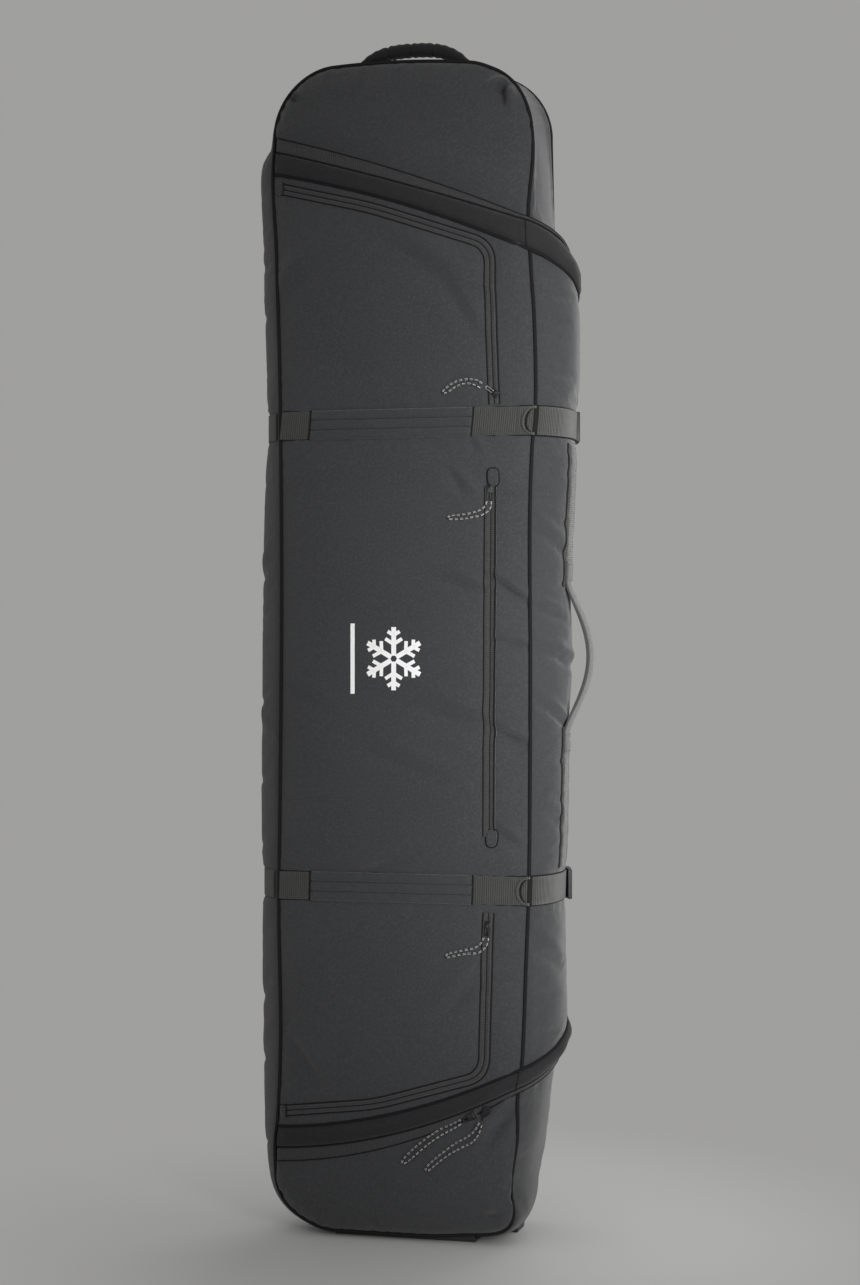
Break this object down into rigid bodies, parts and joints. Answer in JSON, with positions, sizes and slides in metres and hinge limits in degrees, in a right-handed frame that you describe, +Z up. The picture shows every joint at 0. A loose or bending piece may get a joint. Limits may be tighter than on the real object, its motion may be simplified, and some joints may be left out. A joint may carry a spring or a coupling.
{
  "type": "wheeled snowboard bag",
  "caption": "Tall padded wheeled bag for a snowboard, with a wrap-around zipped front door, zipped pockets, compression straps, a top handle and a side handle.",
  "frame": {"origin": "on the base's flat underside, halfway across the bag and halfway between its front and back planes", "axes": "+Z up the bag's length, the front with the pockets faces -Y, +X is to the viewer's right"},
  "size_m": [0.4647, 0.2085, 1.6535],
  "materials": {
    "shell_fabric": "heavy woven polyester, matt, charcoal",
    "gusset_fabric": "heavy woven polyester, matt, charcoal",
    "back_fabric": "coarse coated weave, near black",
    "webbing": "ribbed polyester webbing, dark grey",
    "zip_tape": "fine coated tape with a reversed coil",
    "lining": "smooth lining cloth",
    "stitching": "twisted thread",
    "print_white": "white transfer print",
    "cord": "braided black cord with white flecks",
    "base_plastic": "moulded, fine texture",
    "buckle_plastic": "moulded acetal",
    "stiffener": "extruded sheet",
    "hub": "moulded nylon",
    "slider_metal": "black lacquered die casting",
    "steel": "zinc plated",
    "tyre": "cast polyurethane, black"
  },
  "bodies": {
    "bag_body": {"upper_cap_panel": "shell_fabric", "lower_cap_panel": "shell_fabric", "left_gusset": "gusset_fabric", "upper_left_corner": "gusset_fabric", "upper_right_corner": "gusset_fabric", "top_gusset": "gusset_fabric", "lower_left_corner": "gusset_fabric", "lower_right_corner": "gusset_fabric", "back_panel": "back_fabric", "skid_plate": "base_plastic", "base_tub": "base_plastic", "left_wheel_housing": "base_plastic", "right_wheel_housing": "base_plastic", "back_stiffener": "stiffener", "upper_zip_tape": "zip_tape", "lower_zip_tape": "zip_tape", "side_zip_tape": "zip_tape", "upper_rear_strap": "webbing", "lower_rear_strap": "webbing", "upper_tie_down": "webbing", "lower_tie_down": "webbing", "top_handle_base": "webbing", "upper_buckle_socket": "buckle_plastic", "lower_buckle_socket": "buckle_plastic", "left_axle": "steel", "right_axle": "steel"},
    "door": {"door_panel": "shell_fabric", "door_gusset": "gusset_fabric", "upper_roll": "gusset_fabric", "lower_roll": "gusset_fabric", "upper_pocket_zip": "zip_tape", "middle_pocket_zip": "zip_tape", "lower_pocket_zip": "zip_tape", "upper_front_strap": "webbing", "lower_front_strap": "webbing", "upper_strap_pad": "gusset_fabric", "lower_strap_pad": "gusset_fabric", "upper_buckle_clip": "buckle_plastic", "lower_buckle_clip": "buckle_plastic", "side_handle_strip": "webbing", "side_handle": "webbing"},
    "top_handle": {"top_handle": "gusset_fabric"},
    "left_wheel": {"left_tyre": "tyre", "left_hub": "hub", "left_inner_bearing": "steel", "left_outer_bearing": "steel"},
    "right_wheel": {"right_tyre": "tyre", "right_hub": "hub", "right_inner_bearing": "steel", "right_outer_bearing": "steel"},
    "upper_pocket_pull": {"upper_pocket_slider": "slider_metal", "upper_pocket_cord": "cord"},
    "middle_pocket_pull": {"middle_pocket_slider": "slider_metal", "middle_pocket_cord": "cord"},
    "lower_pocket_pull": {"lower_pocket_slider": "slider_metal", "lower_pocket_cord": "cord"},
    "left_main_pull": {"left_main_slider": "slider_metal", "left_main_cord": "cord"},
    "right_main_pull": {"right_main_slider": "slider_metal", "right_main_cord": "cord"}
  },
  "joints": [
    {"name": "door_swing", "type": "hinge", "parent": "bag_body", "child": "door", "pos_m": [-0.17704, -0.09, 0.8], "axis": [0.0088, 0, -1], "range_deg": [0, 135]},
    {"name": "left_wheel_spin", "type": "hinge", "parent": "bag_body", "child": "left_wheel", "pos_m": [-0.116, 0.077, 0.034], "axis": [1, 0, 0], "continuous": true},
    {"name": "right_wheel_spin", "type": "hinge", "parent": "bag_body", "child": "right_wheel", "pos_m": [0.116, 0.077, 0.034], "axis": [1, 0, 0], "continuous": true},
    {"name": "top_handle_tilt", "type": "hinge", "parent": "bag_body", "child": "top_handle", "pos_m": [0, -0.018, 1.6225], "axis": [1, 0, 0], "range_deg": [-50, 50]},
    {"name": "upper_pocket_slide", "type": "slide", "parent": "door", "child": "upper_pocket_pull", "axis": [-0.0808, 0, 0.9967], "range_m": [0, 0.12]},
    {"name": "middle_pocket_slide", "type": "slide", "parent": "door", "child": "middle_pocket_pull", "axis": [0, 0, 1], "range_m": [-0.455, 0]},
    {"name": "lower_pocket_slide", "type": "slide", "parent": "door", "child": "lower_pocket_pull", "axis": [0.0487, 0, 0.9988], "range_m": [-0.14, 0]},
    {"name": "left_main_slide", "type": "slide", "parent": "bag_body", "child": "left_main_pull", "axis": [0.9219, 0, 0.3873], "range_m": [-0.045, 0]},
    {"name": "right_main_slide", "type": "slide", "parent": "bag_body", "child": "right_main_pull", "axis": [0.9219, 0, 0.3873], "range_m": [0, 0.035]}
  ]
}
